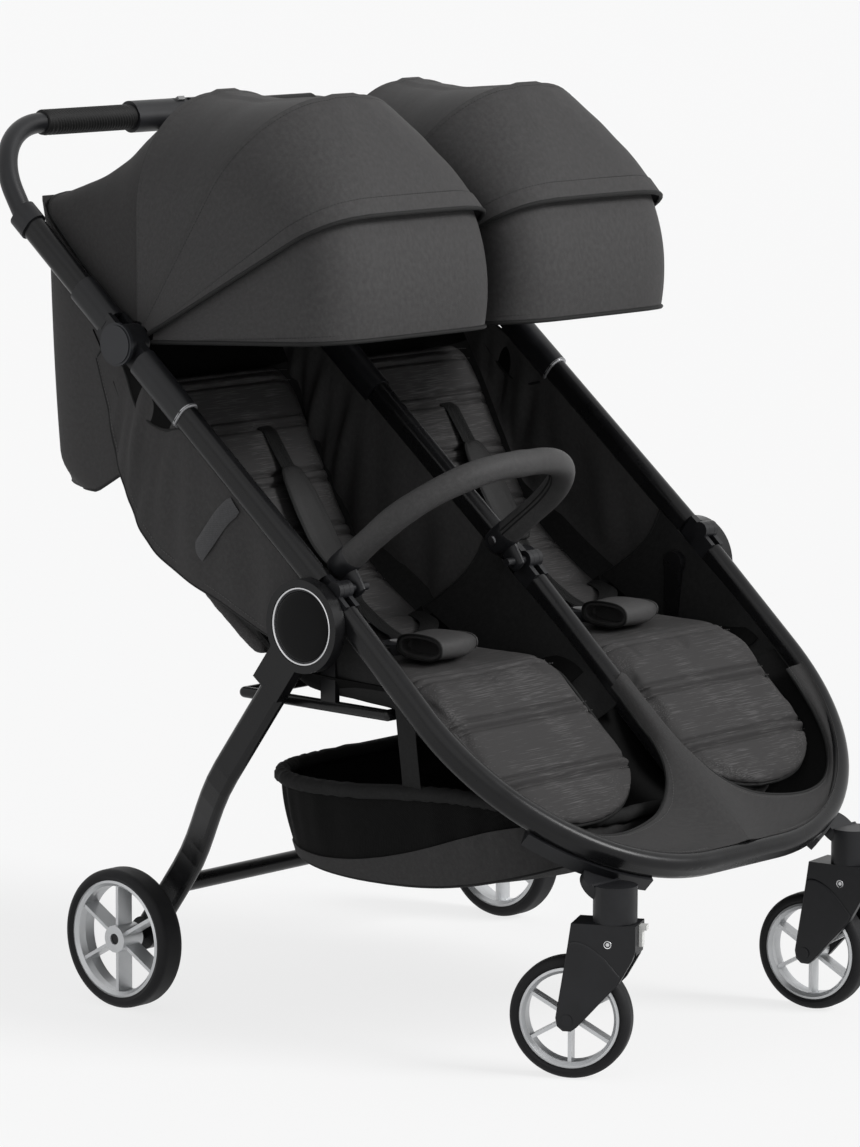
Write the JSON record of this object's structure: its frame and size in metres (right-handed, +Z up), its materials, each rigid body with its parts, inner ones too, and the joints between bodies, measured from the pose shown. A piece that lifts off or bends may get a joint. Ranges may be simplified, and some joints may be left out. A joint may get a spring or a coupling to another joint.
{
  "type": "double stroller",
  "caption": "Side-by-side twin stroller with a folding oval-tube frame, hooped canopies, padded seats, a belly bar, swivelling front castors and an under-seat basket.",
  "frame": {"origin": "on the ground under the middle of the whole stroller", "axes": "+X across, +Y to the rear, +Z up; the seats face -Y"},
  "size_m": [0.76, 1.0037, 1.1416],
  "materials": {
    "frame": "satin black",
    "moulded_black": "fine-grained black",
    "moulded_grey": "grey",
    "bright": "satin silver",
    "white_plastic": "white",
    "rim": "silver paint",
    "tyre": "smooth black foam",
    "grip": "matt black",
    "cloth_charcoal": "heathered charcoal",
    "cloth_canopy": "plain charcoal twill",
    "cloth_black": "black"
  },
  "bodies": {
    "chassis": {"front_frame_tube": "frame", "centre_spine_tube": "frame", "lower_knuckles": "moulded_black", "seat_frame": "frame", "castor_brackets": "moulded_black", "bracket_bolts": "bright", "seat_pad_left": "cloth_charcoal", "seat_pad_right": "cloth_charcoal", "calf_pad_left": "cloth_charcoal", "calf_pad_right": "cloth_charcoal", "footwell_panel": "cloth_charcoal", "footwell_liner": "cloth_black", "crotch_pads": "cloth_charcoal", "buckles": "moulded_black", "basket": "cloth_black"},
    "upper_frame": {"upper_tubes": "frame", "upper_knuckles": "moulded_black", "joint_sleeves": "moulded_black", "side_wings_left": "cloth_black", "side_wings_right": "cloth_black"},
    "handle": {"handle_fittings": "moulded_black", "pivot_discs": "moulded_black", "handle_tubes": "frame", "handlebar": "moulded_black", "grips": "grip", "handle_housing": "moulded_black", "rear_flaps": "cloth_black", "canopy_rear_left": "cloth_canopy", "canopy_rear_right": "cloth_canopy"},
    "trigger": {"fold_trigger": "moulded_black"},
    "lock_slider": {"slide_lock": "moulded_grey"},
    "rear_frame": {"rear_legs": "frame", "hub_trim": "bright", "rear_cross_tube": "frame"},
    "pedal": {"brake_pedal": "moulded_black"},
    "bar": {"belly_bar": "cloth_charcoal"},
    "back_left": {"backrest_left": "cloth_charcoal", "harness_left": "cloth_black"},
    "canopy_mid_left": {"canopy_bow_left": "moulded_black", "canopy_middle_left": "cloth_canopy"},
    "canopy_nose_left": {"canopy_front_left": "cloth_canopy"},
    "button_left": {"buckle_button_left": "moulded_grey"},
    "castor_left": {"castor_fork_left": "moulded_black"},
    "swivel_latch_left": {"swivel_lock_left": "white_plastic"},
    "front_wheel_left": {"front_tyre_left": "tyre", "front_rim_left": "rim"},
    "rear_wheel_left": {"rear_tyre_left": "tyre", "rear_rim_left": "rim"},
    "back_right": {"backrest_right": "cloth_charcoal", "harness_right": "cloth_black"},
    "canopy_mid_right": {"canopy_bow_right": "moulded_black", "canopy_middle_right": "cloth_canopy"},
    "canopy_nose_right": {"canopy_front_right": "cloth_canopy"},
    "button_right": {"buckle_button_right": "moulded_grey"},
    "castor_right": {"castor_fork_right": "moulded_black"},
    "swivel_latch_right": {"swivel_lock_right": "white_plastic"},
    "front_wheel_right": {"front_tyre_right": "tyre", "front_rim_right": "rim"},
    "rear_wheel_right": {"rear_tyre_right": "tyre", "rear_rim_right": "rim"}
  },
  "joints": [
    {"name": "frame_fold", "type": "hinge", "parent": "chassis", "child": "upper_frame", "pos_m": [0, -0.1315, 0.56507], "axis": [1, 0, 0], "range_deg": [0, 150], "deforming": ["rear_flaps"]},
    {"name": "handle_fold", "type": "hinge", "parent": "upper_frame", "child": "handle", "pos_m": [0, 0.22814, 0.83443], "axis": [1, 0, 0], "range_deg": [-112.5, 0]},
    {"name": "rear_leg_fold", "type": "hinge", "parent": "chassis", "child": "rear_frame", "pos_m": [0, -0.095, 0.52], "axis": [1, 0, 0], "range_deg": [-45, 0]},
    {"name": "belly_bar_swing", "type": "hinge", "parent": "chassis", "child": "bar", "pos_m": [-0.1735, -0.1315, 0.56507], "axis": [1, 0, 0], "range_deg": [0, 67.5]},
    {"name": "recline_left", "type": "hinge", "parent": "upper_frame", "child": "back_left", "pos_m": [-0.1735, 0.073, 0.422], "axis": [1, 0, 0], "range_deg": [-25, 0]},
    {"name": "canopy_back_left", "type": "hinge", "parent": "handle", "child": "canopy_mid_left", "pos_m": [-0.172, 0.22814, 0.83443], "axis": [-1, 0, 0], "range_deg": [0, 28], "deforming": ["canopy_rear_left", "canopy_middle_left"]},
    {"name": "canopy_nose_left", "type": "hinge", "parent": "canopy_mid_left", "child": "canopy_nose_left", "pos_m": [-0.172, 0.22814, 0.83443], "axis": [-1, 0, 0], "range_deg": [0, 34]},
    {"name": "buckle_press_left", "type": "slide", "parent": "chassis", "child": "button_left", "axis": [0, 0, -1], "range_m": [0, 0.003], "stiffness_N_per_m": 600, "springref_m": -0.002},
    {"name": "castor_swivel_left", "type": "hinge", "parent": "chassis", "child": "castor_left", "pos_m": [-0.23, -0.466, 0.192], "axis": [0, 0, 1], "continuous": true},
    {"name": "swivel_latch_left", "type": "slide", "parent": "castor_left", "child": "swivel_latch_left", "axis": [0, 0, 1], "range_m": [0, 0.005]},
    {"name": "front_wheel_left", "type": "hinge", "parent": "castor_left", "child": "front_wheel_left", "pos_m": [-0.25361, -0.41967, 0.074], "axis": [0.891, 0.454, 0], "continuous": true},
    {"name": "rear_wheel_left", "type": "hinge", "parent": "rear_frame", "child": "rear_wheel_left", "pos_m": [-0.361, 0.225, 0.088], "axis": [1, 0, 0], "continuous": true},
    {"name": "recline_right", "type": "hinge", "parent": "upper_frame", "child": "back_right", "pos_m": [0.1735, 0.073, 0.422], "axis": [1, 0, 0], "range_deg": [-25, 0]},
    {"name": "canopy_back_right", "type": "hinge", "parent": "handle", "child": "canopy_mid_right", "pos_m": [0.172, 0.22814, 0.83443], "axis": [-1, 0, 0], "range_deg": [0, 28], "deforming": ["canopy_rear_right", "canopy_middle_right"]},
    {"name": "canopy_nose_right", "type": "hinge", "parent": "canopy_mid_right", "child": "canopy_nose_right", "pos_m": [0.172, 0.22814, 0.83443], "axis": [-1, 0, 0], "range_deg": [0, 34]},
    {"name": "buckle_press_right", "type": "slide", "parent": "chassis", "child": "button_right", "axis": [0, 0, -1], "range_m": [0, 0.003], "stiffness_N_per_m": 600, "springref_m": -0.002},
    {"name": "castor_swivel_right", "type": "hinge", "parent": "chassis", "child": "castor_right", "pos_m": [0.23, -0.466, 0.192], "axis": [0, 0, 1], "continuous": true},
    {"name": "swivel_latch_right", "type": "slide", "parent": "castor_right", "child": "swivel_latch_right", "axis": [0, 0, 1], "range_m": [0, 0.005]},
    {"name": "front_wheel_right", "type": "hinge", "parent": "castor_right", "child": "front_wheel_right", "pos_m": [0.22187, -0.41464, 0.074], "axis": [0.9877, 0.1564, 0], "continuous": true},
    {"name": "rear_wheel_right", "type": "hinge", "parent": "rear_frame", "child": "rear_wheel_right", "pos_m": [0.361, 0.225, 0.088], "axis": [1, 0, 0], "continuous": true},
    {"name": "brake_press", "type": "hinge", "parent": "rear_frame", "child": "pedal", "pos_m": [0, 0.175, 0.1555], "axis": [1, 0, 0], "range_deg": [-20, 0]},
    {"name": "trigger_pull", "type": "slide", "parent": "handle", "child": "trigger", "axis": [0, 0.5299, 0.848], "range_m": [0, 0.003], "stiffness_N_per_m": 400, "springref_m": -0.002},
    {"name": "lock_slide", "type": "slide", "parent": "handle", "child": "lock_slider", "axis": [1, 0, 0], "range_m": [0, 0.012]}
  ],
  "couplings": [
    {"joint": "handle_fold", "follows": "frame_fold", "ratio": -0.75},
    {"joint": "rear_leg_fold", "follows": "frame_fold", "ratio": -0.3},
    {"joint": "belly_bar_swing", "follows": "frame_fold", "ratio": 0.45},
    {"joint": "canopy_nose_left", "follows": "canopy_back_left", "ratio": 1.2143},
    {"joint": "canopy_nose_right", "follows": "canopy_back_right", "ratio": 1.2143}
  ]
}
